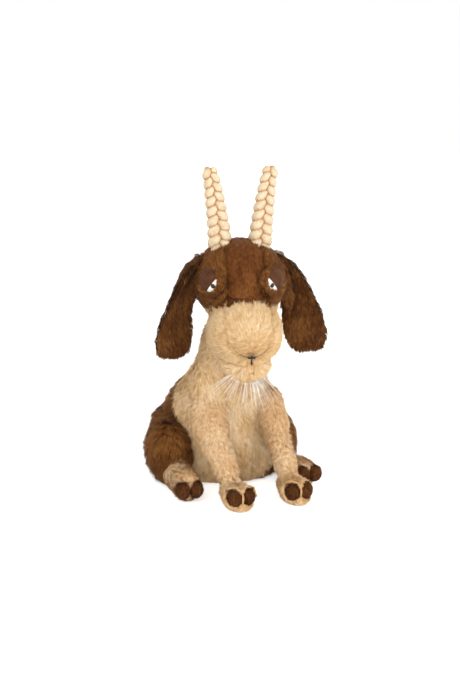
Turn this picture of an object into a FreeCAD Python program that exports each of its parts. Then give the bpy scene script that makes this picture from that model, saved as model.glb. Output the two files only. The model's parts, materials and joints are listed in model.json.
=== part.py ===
import FreeCAD, Part
import math
import os

# Seated plush goat. Millimetres, +Z up, it faces -Y, its left side is +X.
# The origin is on the flat seat panel, below the neck and on the surface it sits on.

doc = FreeCAD.newDocument("PlushGoat")
V = FreeCAD.Vector
Z_UP = V(0, 0, 1)

sheet = doc.addObject("Spreadsheet::Sheet", "Sizes")
SIZES = [
    ("cover", 2.4, "thickness of the plush cover"),
    ("gap_fit", 0.5, "air between two pieces that move"),
    # trunk
    ("seat_wide", 50, "half width of the flat seat"),
    ("seat_deep", 44, "half depth of the flat seat"),
    ("seat_back", 18, "how far back the seat's middle lies in the trunk"),
    ("trunk_wide", 65, "half width of the rump"),
    ("trunk_deep", 61, "half depth of the rump"),
    ("trunk_tall", 118, "height of the neck seam"),
    ("neck_wide", 41, "neck radius at its seam"),
    ("neck_top", 26, "neck radius under the head"),
    ("neck_tall", 48, "height of the neck above its seam"),
    ("neck_back", -15, "Y of the neck axis"),
    ("back_curve", 150, "radius of the line where back meets belly"),
    ("pellet_wide", 36, "pellet bag, half width"),
    ("pellet_tall", 20, "pellet bag, half height"),
    ("tail_wide", 10, "tail, half width"),
    ("tail_tall", 21, "tail, half length"),
    # head
    ("head_turn", -10, "the head looks this far to its right, degrees"),
    ("head_side", 4.5, "the head sits this far to its left"),
    ("head_wide", 46, "half width"),
    ("head_deep", 46, "half depth"),
    ("head_high", 44, "half height"),
    ("head_y", -22, "middle of the head"),
    ("head_z", 204, "middle of the head"),
    ("gusset_wide", 17.5, "half width of the forehead gusset"),
    ("muzzle_wide", 37.8, "half width"),
    ("muzzle_deep", 42, "half depth"),
    ("muzzle_high", 38, "half height"),
    ("muzzle_y", -50, "middle of the muzzle"),
    ("muzzle_z", 158, "middle of the muzzle"),
    ("bridge_wide", 20.5, "half width of the nose gusset"),
    ("bridge_z", 161.5, "where the nose gusset starts to round off"),
    ("chin_wide", 24.5, "half width"),
    ("chin_deep", 23, "half depth"),
    ("chin_high", 19, "half height"),
    ("chin_y", -63, "middle of the chin"),
    ("chin_z", 128.5, "middle of the chin"),
    ("beard_long", 15, "half length of the beard tuft"),
    ("eye_size", 12, "radius of the eye white"),
    ("eye_thick", 4.2, "how far the eye stands out"),
    ("eye_turn", 41, "how far round the head the eyes sit, degrees"),
    ("eye_shift", 6, "both eyes are set this far round to its right, degrees"),
    ("eye_drop", 4, "the lid's edge, below the middle of the eye"),
    ("eye_z", 209.5, "height of the eyes"),
    ("lid_over", 1.0, "the lid is this much larger than the white"),
    ("lid_tilt", 50, "slope of the lid's edge, degrees"),
    ("pupil_size", 2.9, "radius of the pupil bead"),
    ("thread", 1.0, "radius of the nose stitching"),
    # ears
    ("ear_root_x", 38.1, "ear seam, from the middle of the head"),
    ("ear_root_z", 237, "height of the ear seam"),
    ("ear_wide", 23.5, "half width near the end"),
    ("ear_thick", 4.8, "half thickness"),
    ("ear_long", 105, "length of the ear"),
    # horns
    ("horn_tall", 80, "height of a plaited horn"),
    ("horn_x", 19.7, "horn's foot, from the middle of the head"),
    ("horn_lean", 10.5, "how far the tip leans out"),
    ("horn_sway", 6.8, "side swing of a strand at the foot"),
    ("horn_weave", 5.0, "front to back swing of a strand at the foot"),
    ("strand_fat", 3.8, "level radius of a strand where it bends, at the foot"),
    ("strand_thin", 2.3, "level radius of a strand where strands cross, at the foot"),
    ("plait_turns", 2.85, "full periods of the plait"),
    # front legs
    ("shoulder_x", 35.5, "shoulder seam"),
    ("shoulder_y", -34, "shoulder seam"),
    ("shoulder_z", 82, "shoulder seam"),
    ("arm_top", 17.5, "radius at the shoulder"),
    ("arm_elbow", 16, "radius at the elbow seam"),
    ("arm_wrist", 12.5, "radius at the fetlock seam"),
    ("paw_wide", 17, "foot, half width"),
    ("paw_long", 25, "foot, half length"),
    ("paw_high", 13, "foot, half height"),
    ("hoof_wide", 7.2, "one half of a cloven hoof, half width"),
    ("hoof_long", 10, "hoof, half length"),
    ("hoof_high", 7.6, "hoof, half height"),
    # hind legs
    ("hip_right", 66, "right hip seam"),
    ("hip_left", 57, "left hip seam"),
    ("hip_y", -4, "hip seam"),
    ("hip_z", 32.4, "hip seam"),
    ("thigh_wide", 22, "thigh, half width"),
    ("thigh_round", 32, "thigh radius about the hip"),
    ("shank_thick", 15, "shank radius"),
    ("reach_right", 60, "right shank, how far it reaches forward"),
    ("reach_left", 50, "left shank, how far it reaches forward"),
]
for row, (name, size, note) in enumerate(SIZES, start=1):
    sheet.set("A%d" % row, name)
    sheet.set("B%d" % row, str(size))
    sheet.set("C%d" % row, note)
    sheet.setAlias("B%d" % row, name)
doc.recompute()


def size(name):
    return float(sheet.get(name))


def tie(obj, **links):
    """Ties properties of an object to the sheet; __ stands for a dot."""
    for prop, formula in links.items():
        words = formula
        for name in sorted((r[0] for r in SIZES), key=len, reverse=True):
            words = swap_word(words, name)
        obj.setExpression(prop.replace("__", "."), words)
    return obj


def swap_word(text, name):
    """Puts the sheet's name in front of one alias in a formula."""
    out, i = "", 0
    while i < len(text):
        hit = text.startswith(name, i)
        before = text[i - 1] if i else " "
        after = text[i + len(name)] if i + len(name) < len(text) else " "
        if hit and not (before.isalnum() or before in "_.") and not (after.isalnum() or after == "_"):
            out += "Sizes." + name
            i += len(name)
        else:
            out += text[i]
            i += 1
    return out


def add(kind, name, **links):
    """A document object whose properties come from the sheet."""
    obj = doc.addObject(kind, name)
    return tie(obj, **links)


def egg(name, wide, deep, high, x=None, y="0", z="0"):
    """An ellipsoid, half sizes and middle given as formulas; with no x it is placed later."""
    if x is None:
        return add("Part::Ellipsoid", name, Radius1=high, Radius2=wide, Radius3=deep)
    return add(
        "Part::Ellipsoid", name, Radius1=high, Radius2=wide, Radius3=deep,
        Placement__Base__x=x, Placement__Base__y=y, Placement__Base__z=z,
    )


def dent(name, wide, deep, high, middle):
    """An ellipsoid pressed into another form, half sizes in millimetres."""
    scale = FreeCAD.Matrix()
    scale.scale(wide, deep, high)
    obj = doc.addObject("Part::Feature", name)
    obj.Shape = Part.makeSphere(1).transformGeometry(scale).translated(middle)
    return obj


def cut(name, base, *tools):
    """base with each tool taken away."""
    for k, tool in enumerate(tools):
        last = k == len(tools) - 1
        step = doc.addObject("Part::Cut", name if last else "%s_cut%d" % (name, k))
        step.Base = base
        step.Tool = tool
        base = step
    return base


def carve(name, start, *tools):
    """A soft form with other forms pressed out of it."""
    shape = start.Shape
    for tool in tools:
        shape = shape.cut(tool.Shape)
    obj = doc.addObject("Part::Feature", name)
    obj.Shape = shape
    return obj


def common(name, *shapes):
    step = doc.addObject("Part::MultiCommon", name)
    step.Shapes = list(shapes)
    return step


def fuse(name, *shapes):
    step = doc.addObject("Part::MultiFuse", name)
    step.Shapes = list(shapes)
    return step


made = []


def keep(obj, label):
    """Marks an object as one physical piece."""
    obj.Label = label
    made.append(obj)
    return obj


def ring(x, y, z, wide, deep, twist=0.0):
    """One closed oval in a level plane."""
    points = []
    for k in range(16):
        a = 2 * math.pi * k / 16
        px, py = wide * math.cos(a), deep * math.sin(a)
        t = math.radians(twist)
        points.append(V(x + px * math.cos(t) - py * math.sin(t), y + px * math.sin(t) + py * math.cos(t), z))
    curve = Part.BSplineCurve()
    curve.interpolate(points, PeriodicFlag=True)
    return Part.Wire([curve.toShape()])


def domed(end, inward, height):
    """Rings that close a stack with a round end; the list runs outward."""
    x, y, z, wide, deep, twist = end
    side = 1 if end[2] > inward[2] else -1
    rings = []
    for t in (0.45, 0.75, 0.92, 0.99):
        k = math.sqrt(1 - t * t)
        rings.append((x, y, z + side * t * height, wide * k, deep * k, twist))
    return rings


def stack(name, levels, bottom=0.0, top=0.0):
    """A soft form lofted through level ovals, with round ends where a height is given."""
    levels = [tuple(row) + (0.0,) * (6 - len(row)) for row in levels]
    rows = list(levels)
    if bottom:
        rows = domed(levels[0], levels[1], bottom)[::-1] + rows
    if top:
        rows = rows + domed(levels[-1], levels[-2], top)
    obj = doc.addObject("Part::Feature", name)
    obj.Shape = Part.makeLoft([ring(*row) for row in rows], True, False)
    return obj


def lathe(name, profile, crown):
    """A round form turned about the neck axis; profile is radius and height, crown closes the top."""
    last_r, last_z = profile[-1]
    points = [V(r, 0, z) for r, z in profile] + [V(0.6 * last_r, 0, last_z + 0.8 * crown)]
    curve = Part.BSplineCurve()
    curve.interpolate(points)
    end = points[-1]
    edges = [
        Part.makeLine(V(0, 0, profile[0][1]), points[0]),
        curve.toShape(),
        Part.makeLine(end, V(0, 0, end.z)),
        Part.makeLine(V(0, 0, end.z), V(0, 0, profile[0][1])),
    ]
    turned_solid = Part.Face(Part.Wire(edges)).revolve(V(0, 0, 0), Z_UP, 360)
    obj = doc.addObject("Part::Feature", name)
    obj.Shape = turned_solid.translated(V(0, size("neck_back"), 0))
    return obj


def section(middle, radius):
    """A level round section of a strand."""
    return Part.Wire([Part.makeCircle(radius, middle, Z_UP)])


def mirrored(name, source):
    """The same form on the other side of the head's middle."""
    twin = doc.addObject("Part::Mirroring", name)
    twin.Source = source
    twin.Base = V(size("head_side"), 0, 0)
    twin.Normal = V(1, 0, 0)
    return twin


def along(obj, start, end):
    """Stands a form made along +Z on the line from start to end."""
    obj.Placement = FreeCAD.Placement(start, FreeCAD.Rotation(Z_UP, end - start))
    return obj


# ---- trunk ----
seat_w, seat_d, seat_y = size("seat_wide"), size("seat_deep"), size("seat_back")
trunk_w, trunk_d, trunk_h = size("trunk_wide"), size("trunk_deep"), size("trunk_tall")
neck_w, neck_y = size("neck_wide"), size("neck_back")
cover = size("cover")


def trunk_levels(inset):
    """Ovals of the trunk from the seat to the neck seam."""
    rows = [
        (0, seat_y, 0.00, seat_w, seat_d),
        (0, seat_y - 0.5, 0.05, 0.5 * (seat_w + trunk_w) + 2, 0.5 * (seat_d + trunk_d) + 2),
        (0, seat_y - 1.5, 0.23, trunk_w, trunk_d),
        (0, seat_y - 3, 0.48, trunk_w - 1, trunk_d - 4),
        (0, seat_y - 8, 0.71, 0.5 * (trunk_w + neck_w) + 3.5, 0.5 * (trunk_d + neck_w) - 1),
        (0, neck_y + 9, 0.91, neck_w + 3.5, neck_w + 0.5),
        (0, neck_y + 3, 1.00, neck_w, neck_w - 1.5),
    ]
    low, high = 0.9 * inset, trunk_h - 0.9 * inset
    return [(x, y, low + (high - low) * f, w - inset, d - inset) for x, y, f, w, d in rows]


trunk_form = stack("trunk_form", trunk_levels(0))
trunk_inside = stack("trunk_inside", trunk_levels(cover))

back_tool = add(
    "Part::Cylinder", "back_tool", Radius="back_curve", Height="4 * trunk_wide",
    Placement__Base__x="-2 * trunk_wide",
    Placement__Base__y="back_curve - 14",
    Placement__Base__z="10",
)
back_tool.Placement.Rotation = FreeCAD.Rotation(V(0, 1, 0), 90)

# hip and shoulder seats are pressed into the trunk by the limbs
doc.recompute()
hip_seats = []
shoulder_seats = []
for side, word in ((-1, "right"), (1, "left")):
    loose = size("thigh_round") + size("gap_fit")
    hip = V(side * size("hip_" + word), size("hip_y"), size("hip_z"))
    hip_seats.append(dent("hip_seat_" + word, size("thigh_wide") + size("gap_fit"), loose, loose, hip))

neck_levels = [
    (0, 0, 0.0, neck_w - 1.0, neck_w - 1.6),
    (0, 0, 0.3, 0.68 * neck_w + 0.32 * size("neck_top") - 1, 0.66 * neck_w + 0.34 * size("neck_top") - 1),
    (0, 0, 0.65, 0.36 * neck_w + 0.64 * size("neck_top"), 0.34 * neck_w + 0.66 * size("neck_top")),
    (0, 0, 0.9, size("neck_top"), size("neck_top") - 1),
]
neck_rows = [
    (x, neck_y + y, trunk_h + size("neck_tall") * f, w, d) for x, y, f, w, d in neck_levels
]
neck_form = lathe("neck_form", [(w, z) for x, y, z, w, d in neck_rows], 3.0)

# what the head must leave free so that it can turn on the neck
room = size("gap_fit") + 0.7
turning_rows = [(0, neck_y, trunk_h - 36, neck_w + 15, neck_w + 15), (0, neck_y, trunk_h - 12, neck_w + 5, neck_w + 5)]
turning_rows += [(x, y, z, w + room, w + room) for x, y, z, w, d in neck_rows]
turning_room = lathe("turning_room", [(w, z) for x, y, z, w, d in turning_rows], 3.0 + room)

# ---- limbs: forms made along +Z from their seam, then laid on their line ----
shoulder = {}
elbow = {}
wrist = {}
arm_parts = {}
arm_top, arm_elbow, arm_wrist = size("arm_top"), size("arm_elbow"), size("arm_wrist")
for side, word in ((-1, "right"), (1, "left")):
    shoulder[word] = V(side * size("shoulder_x"), size("shoulder_y"), size("shoulder_z"))
    elbow[word] = shoulder[word] + V(side * 1.0, -24, -30)
    wrist[word] = elbow[word] + V(-side * 7, -29, -30)
    start, end = shoulder[word], elbow[word]
    span = (end - start).Length
    rows = [
        (0, 0, 0, arm_top, arm_top),
        (0, 0, 0.4 * span, arm_top - 0.2, arm_top - 0.4),
        (0, 0, 0.8 * span, arm_elbow + 0.6, arm_elbow + 0.2),
        (0, 0, span - 0.1, arm_elbow - 0.4, arm_elbow - 0.8),
    ]
    upper = along(stack("arm_form_" + word, rows, bottom=arm_top), start, end)
    ball = add("Part::Sphere", "shoulder_ball_" + word, Radius="arm_top + gap_fit")
    ball.Placement.Base = start
    barrel = add("Part::Cylinder", "shoulder_barrel_" + word, Radius="arm_top + gap_fit", Height="60")
    shoulder_seats += [along(barrel, start, end), ball]
    keep(upper, "upper_arm_" + word)
    start, end = elbow[word], wrist[word]
    span = (end - start).Length
    rows = [
        (0, 0, 0.1, arm_elbow - 1.6, arm_elbow - 1.8),
        (0, 0, 0.3 * span, arm_elbow - 1.4, arm_elbow - 1.4),
        (0, 0, 0.75 * span, 0.3 * arm_elbow + 0.7 * arm_wrist, 0.3 * arm_elbow + 0.7 * arm_wrist),
        (0, 0, span, arm_wrist, arm_wrist - 0.3),
    ]
    lower = along(stack("forearm_form_" + word, rows), start, end)
    arm_parts[word] = (upper, lower)

# the seat panel is an oval of cover fabric set into the bottom of the trunk
panel = doc.addObject("PartDesign::Body", "seat_panel_body")
outline = panel.newObject("Sketcher::SketchObject", "seat_outline")
oval = Part.Ellipse(V(seat_w - 3, seat_y, 0), V(0, seat_y + seat_d - 3, 0), V(0, seat_y, 0))
outline.addGeometry(oval, False)
pad = panel.newObject("PartDesign::Pad", "seat_pad")
pad.Profile = outline
tie(pad, Length="0.9 * cover")
panel.Tip = pad
doc.recompute()
plug = doc.addObject("Part::Feature", "seat_plug")
plug.Shape = Part.Face(Part.Wire([oval.toShape()])).extrude(V(0, 0, 2 * cover)).translated(V(0, 0, -cover))

tools_trunk = hip_seats + shoulder_seats
trunk_shell = carve("trunk_shell", trunk_form, trunk_inside, *tools_trunk, plug)
front_tool = doc.addObject("Part::Feature", "front_tool")
front_tool.Shape = Part.makeBox(400, 400, 400, V(-200, -300, -100)).cut(back_tool.Shape)
keep(carve("torso_back_piece", trunk_shell, front_tool), "torso_back")
keep(carve("torso_front_piece", trunk_shell, back_tool), "torso_front")
keep(panel, "seat_panel")

pellet_w, pellet_h = size("pellet_wide"), size("pellet_tall")
pellets = dent("pellets", pellet_w, pellet_w - 4, pellet_h, V(0, seat_y + 6, pellet_h + 1.5 * cover))
keep(pellets, "pellet_bag")
keep(carve("trunk_fill", trunk_inside, *tools_trunk, pellets), "torso_stuffing")
keep(neck_form, "neck")

tail_form = egg(
    "tail_form", "tail_wide", "0.9 * tail_wide", "tail_tall", "0", "seat_back + trunk_deep - 1", "0.42 * trunk_tall",
)
trunk_room = stack("trunk_room", trunk_levels(-size("gap_fit")))
keep(cut("tail_piece", tail_form, trunk_room), "tail")

# ---- front feet ----
paw_w, paw_l, paw_h = size("paw_wide"), size("paw_long"), size("paw_high")
hoof_w, hoof_l, hoof_h = size("hoof_wide"), size("hoof_long"), size("hoof_high")
for side, word in ((-1, "right"), (1, "left")):
    upper, lower = arm_parts[word]
    middle = V(wrist[word].x, wrist[word].y - 0.6 * paw_l, paw_h)
    rows = [
        (0, 0, 0.45 * paw_l, 0.82 * paw_w, 0.9 * paw_h),
        (0, 0, 0.8 * paw_l, 0.94 * paw_w, 0.98 * paw_h),
        (0, 0, 1.2 * paw_l, paw_w, paw_h),
        (0, 0, 1.45 * paw_l, 0.97 * paw_w, 0.95 * paw_h),
    ]
    heel = middle + V(0, paw_l, 0)
    paw = along(stack("paw_" + word, rows, bottom=0.42 * paw_l, top=0.5 * paw_l), heel, middle)
    keep(carve("forearm_piece_" + word, lower, paw, upper), "forearm_" + word)
    halves = []
    for step, where in ((-1, "inner"), (1, "outer")):
        spot = V(middle.x + side * step * (hoof_w + 0.15), middle.y - 0.56 * paw_l, paw_h + 0.5)
        halves.append(dent("hoof_%s_%s" % (word, where), hoof_w, hoof_l, hoof_h, spot))
        keep(halves[-1], "front_hoof_%s_%s" % (word, where))
    keep(carve("paw_piece_" + word, paw, *halves), "front_foot_" + word)

# ---- hind legs ----
for side, word in ((-1, "right"), (1, "left")):
    thigh = egg(
        "thigh_" + word, "thigh_wide", "thigh_round", "thigh_round", "%d * hip_%s" % (side, word), "hip_y", "hip_z",
    )
    hip = V(side * size("hip_" + word), size("hip_y"), size("hip_z"))
    thigh_w, thigh_r = size("thigh_wide"), size("thigh_round")
    reach = size("reach_" + word)
    thick = size("shank_thick")
    knee = V(side * size("hip_" + word), size("hip_y") - 22, thick + 1.5)
    toe = knee + V(2.5 if word == "left" else -2.5, -reach + 6, -1.0)
    span = (toe - knee).Length
    rows = [
        (0, 0, 0, thick - 1, thick - 1),
        (0, 0, 0.4 * span, thick - 0.2, thick + 0.3),
        (0, 0, 0.8 * span, thick, thick),
    ]
    shank = along(stack("shank_form_" + word, rows, bottom=6, top=0.25 * span), knee, toe)
    keep(thigh, "thigh_" + word)
    halves = []
    for step, where in ((-1, "inner"), (1, "outer")):
        spot = V(toe.x + side * step * (hoof_w + 0.15), toe.y + 0.15 * hoof_l, paw_h + 0.5)
        halves.append(dent("hind_%s_%s" % (word, where), hoof_w, hoof_l, hoof_h, spot))
        keep(halves[-1], "hind_hoof_%s_%s" % (word, where))
    ball = dent("thigh_ball_" + word, thigh_w, thigh_r, thigh_r, hip)
    keep(carve("shank_piece_" + word, shank, ball, trunk_room, *halves), "hind_foot_" + word)

# ---- head, modelled facing -Y and turned at the end ----
hx = size("head_side")
head_form = egg("head_form", "head_wide", "head_deep", "head_high", "head_side", "head_y", "head_z")
head_inside = egg(
    "head_inside", "head_wide - cover", "head_deep - cover", "head_high - cover", "head_side", "head_y", "head_z",
)
muzzle_form = egg(
    "muzzle_form", "muzzle_wide", "muzzle_deep", "muzzle_high", "head_side", "muzzle_y", "muzzle_z",
)
muzzle_inside = egg(
    "muzzle_inside", "muzzle_wide - cover", "muzzle_deep - cover", "muzzle_high - cover",
    "head_side", "muzzle_y", "muzzle_z",
)
chin_form = egg("chin_form", "chin_wide", "chin_deep", "chin_high", "head_side", "chin_y", "chin_z")


def block(name, x, y, z, length, width, height):
    return add(
        "Part::Box", name, Length=length, Width=width, Height=height,
        Placement__Base__x=x, Placement__Base__y=y, Placement__Base__z=z,
    )


crown_panel = block(
    "crown_panel", "head_side - gusset_wide", "-200", "0", "2 * gusset_wide", "400", "400",
)
left_half = block("left_half", "head_side", "-200", "0", "200", "400", "400")

head_shell = cut("head_shell", head_form, head_inside, muzzle_form, turning_room)
head_sides = cut("head_sides", head_shell, crown_panel)
turned = []


def keep_head(obj, label):
    turned.append(obj)
    return keep(obj, label)


keep_head(common("crown_piece", head_shell, crown_panel), "head_gusset")
keep_head(cut("side_piece_right", head_sides, left_half), "head_side_right")
keep_head(common("side_piece_left", head_sides, left_half), "head_side_left")
keep_head(cut("head_fill", head_inside, muzzle_form, turning_room), "head_stuffing")

muzzle_whole = cut("muzzle_whole", muzzle_form, head_form, turning_room)
muzzle_shell = cut("muzzle_shell", muzzle_whole, muzzle_inside)
keep_head(common("muzzle_fill", muzzle_whole, muzzle_inside), "muzzle_stuffing")
bridge_block = block(
    "bridge_block", "head_side - bridge_wide", "-200", "bridge_z", "2 * bridge_wide", "200 + muzzle_y", "200",
)
bridge_round = add(
    "Part::Cylinder", "bridge_round", Radius="bridge_wide", Height="200 + muzzle_y",
    Placement__Base__x="head_side", Placement__Base__y="muzzle_y", Placement__Base__z="bridge_z",
)
bridge_round.Placement.Rotation = FreeCAD.Rotation(V(1, 0, 0), 90)
bridge_tool = fuse("bridge_tool", bridge_block, bridge_round)
nose_bridge = common("nose_bridge_form", muzzle_shell, bridge_tool)
muzzle_sides = cut("muzzle_sides", muzzle_shell, bridge_tool)
keep_head(nose_bridge, "nose_bridge")
keep_head(cut("muzzle_piece_right", muzzle_sides, left_half), "muzzle_side_right")
keep_head(common("muzzle_piece_left", muzzle_sides, left_half), "muzzle_side_left")
chin_piece = cut("chin_piece", chin_form, muzzle_form, turning_room)
keep_head(chin_piece, "chin")
beard_form = egg(
    "beard_form", "0.95 * chin_wide", "0.45 * chin_deep", "beard_long",
    "head_side", "chin_y + 2", "chin_z - 0.62 * beard_long",
)
keep_head(cut("beard_piece", beard_form, chin_form, muzzle_form, turning_room), "beard")

# stitching of the nose and lip, standing on the muzzle
thread = size("thread")
for word, ends in (
    ("nose_stitch", (V(hx - 3.6, 0, 0), V(hx + 3.6, 0, 0))),
    ("lip_stitch", (V(hx, 0, -3.6), V(hx, 0, -11.0))),
):
    points = []
    for k in range(9):
        f = k / 8
        spot = ends[0] + (ends[1] - ends[0]) * f
        z = size("bridge_z") - size("bridge_wide") + spot.z
        u = (spot.x - hx) / size("muzzle_wide")
        w = (z - size("muzzle_z")) / size("muzzle_high")
        lift = 0.35 * thread * math.sin(math.pi * f) + 0.15
        y = size("muzzle_y") - size("muzzle_deep") * math.sqrt(1 - u * u - w * w) - lift
        points.append(V(spot.x, y, z))
    line = Part.BSplineCurve()
    line.interpolate(points)
    path = Part.Wire([line.toShape()])
    aim = line.tangent(line.FirstParameter)[0]
    hoop = Part.Wire([Part.makeCircle(thread, points[0], aim)])
    yarn = doc.addObject("Part::Feature", word + "_yarn")
    yarn.Shape = path.makePipeShell([hoop], True, True)
    keep_head(cut(word + "_piece", yarn, muzzle_form, chin_form), word)

# eyes: a white dome, a bead of a pupil, and a suede lid over the upper part
for side, word in ((-1, "right"), (1, "left")):
    turn = math.radians(size("eye_turn") - side * size("eye_shift"))
    w = (size("eye_z") - size("head_z")) / size("head_high")
    out = math.sqrt(1 - w * w)
    aim = V(side * math.sin(turn), -math.cos(turn), 0.06).normalize()
    spot = V(
        hx + side * size("head_wide") * out * math.sin(turn),
        size("head_y") - size("head_deep") * out * math.cos(turn),
        size("eye_z"),
    )
    white = egg("white_" + word, "eye_size", "eye_size", "eye_thick")
    lid = egg("lid_" + word, "eye_size + lid_over", "eye_size + lid_over", "eye_thick + 0.9 * lid_over")
    lid_block = add("Part::Box", "lid_block_" + word, Length="100", Width="100", Height="100")
    pupil = egg("bead_" + word, "pupil_size", "pupil_size", "1.5 * pupil_size")
    # the lid's edge runs down towards the outer corner
    across = V(0, 0, 1).cross(aim).normalize()
    frame = FreeCAD.Matrix(
        across.x, aim.cross(across).x, aim.x, spot.x,
        across.y, aim.cross(across).y, aim.y, spot.y,
        across.z, aim.cross(across).z, aim.z, spot.z,
        0, 0, 0, 1,
    )
    place = FreeCAD.Placement(frame)
    tilt = FreeCAD.Rotation(V(0, 0, 1), -side * size("lid_tilt"))
    drop = tilt.multVec(V(0, -size("eye_drop"), 0))
    white.Placement = place
    lid.Placement = place
    lid_block.Placement = place.multiply(FreeCAD.Placement(drop, tilt)).multiply(
        FreeCAD.Placement(V(-50, 0, -50), FreeCAD.Rotation())
    )
    look = tilt.multVec(V(-side * 0.5, -size("eye_drop") - 1.9, size("eye_thick") - 3.3))
    pupil.Placement = place.multiply(FreeCAD.Placement(look, FreeCAD.Rotation()))
    lid_piece = common("lid_piece_" + word, cut("lid_shell_" + word, lid, white), lid_block)
    keep_head(cut("lid_cover_" + word, lid_piece, head_form, pupil), "eyelid_" + word)
    keep_head(cut("white_piece_" + word, white, head_form, pupil), "eye_white_" + word)
    keep_head(cut("pupil_piece_" + word, pupil, head_form), "pupil_" + word)

# ears: long leaves that turn from lying against the head to facing forward
ear_w, ear_t, ear_l = size("ear_wide"), size("ear_thick"), size("ear_long")
EAR_LINE = [
    # down the ear, out from its seam, forward, share of the width, share of the thickness, turn
    (0.00, 0.0, 0.0, 0.50, 0.95, 88),
    (0.10, 8.5, 0.5, 0.62, 1.00, 84),
    (0.22, 14.5, 1.0, 0.74, 1.00, 76),
    (0.36, 19.5, 2.0, 0.84, 1.00, 66),
    (0.52, 23.5, 4.0, 0.93, 1.00, 52),
    (0.68, 26.5, 6.5, 1.00, 1.00, 38),
    (0.84, 28.5, 8.5, 0.97, 1.00, 28),
    (0.94, 29.5, 9.5, 0.80, 0.95, 24),
]
rows = []
for down, out, fore, w, t, turn in EAR_LINE:
    rows.append((
        hx - size("ear_root_x") - out, size("head_y") + 2 - fore,
        size("ear_root_z") - ear_l * down, ear_w * w, ear_t * t, turn,
    ))
leaf = stack("leaf", rows[::-1], bottom=0.07 * ear_l, top=0.75 * ear_t)
keep_head(leaf, "ear_right")
keep_head(mirrored("leaf_twin", leaf), "ear_left")

# horns: three strands plaited, fat where they bend and squeezed thin where they cross
horn_h = size("horn_tall")
turns = size("plait_turns")
foot = V(hx - size("horn_x"), size("head_y") - 3, size("head_z") + size("head_high") * 0.72)
for strand in range(3):
    steps = int(10 * turns)
    spine, radii = [], []
    for k in range(steps + 1):
        f = k / steps
        phase = 2 * math.pi * (turns * f + strand / 3)
        slim = 1 - 0.36 * f ** 1.3
        close = 1 - 0.1 * max(0.0, (f - 0.93) / 0.07) ** 2
        close *= min(1.0, 0.8 + f / 0.1)
        lean = size("horn_lean") * f ** 1.4
        spine.append(foot + V(
            -lean - size("horn_sway") * slim * close * math.sin(phase),
            size("horn_weave") * slim * close * math.sin(2 * phase),
            horn_h * (f + 0.06 * f * (1 - f)),
        ))
        fat = math.sin(phase) ** 2
        radii.append((size("strand_thin") + (size("strand_fat") - size("strand_thin")) * fat) * slim)
    rings = [section(middle, radius) for middle, radius in zip(spine, radii)]
    for t in (0.5, 0.8, 0.96):
        rings.append(section(spine[-1] + Z_UP * (radii[-1] * t), radii[-1] * math.sqrt(1 - t * t)))
    rope = doc.addObject("Part::Feature", "rope_%d" % (strand + 1))
    rope.Shape = Part.makeLoft(rings, True, False)
    twin = mirrored("rope_twin_%d" % (strand + 1), rope)
    for word, form in (("right", rope), ("left", twin)):
        label = "horn_%s_strand_%d" % (word, strand + 1)
        keep_head(cut("strand_%s_%d" % (word, strand + 1), form, head_form), label)

# the whole head looks a little to one side
for obj in turned:
    angle = size("head_turn")
    axis = V(0, neck_y, 0)
    swing = FreeCAD.Rotation(Z_UP, angle)
    shift = axis - swing.multVec(axis)
    obj.Placement = FreeCAD.Placement(shift, swing).multiply(obj.Placement)

doc.recompute()

os.makedirs("parts", exist_ok=True)
for obj in doc.Objects:
    if "Invalid" in obj.State or "Error" in obj.State:
        raise RuntimeError("%s did not build: %s" % (obj.Label, obj.State))
for obj in made:
    if obj.Shape.isNull() or not obj.Shape.isValid() or obj.Shape.Volume <= 0:
        raise RuntimeError("%s has no sound shape" % obj.Label)
    obj.Shape.exportStep("parts/%s.step" % obj.Label)
print("pieces", len(made))
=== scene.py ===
# Seated plush goat: every soft skin, its pile, the plaited horns, the eyes and the stitching.
import json
import math

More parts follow.
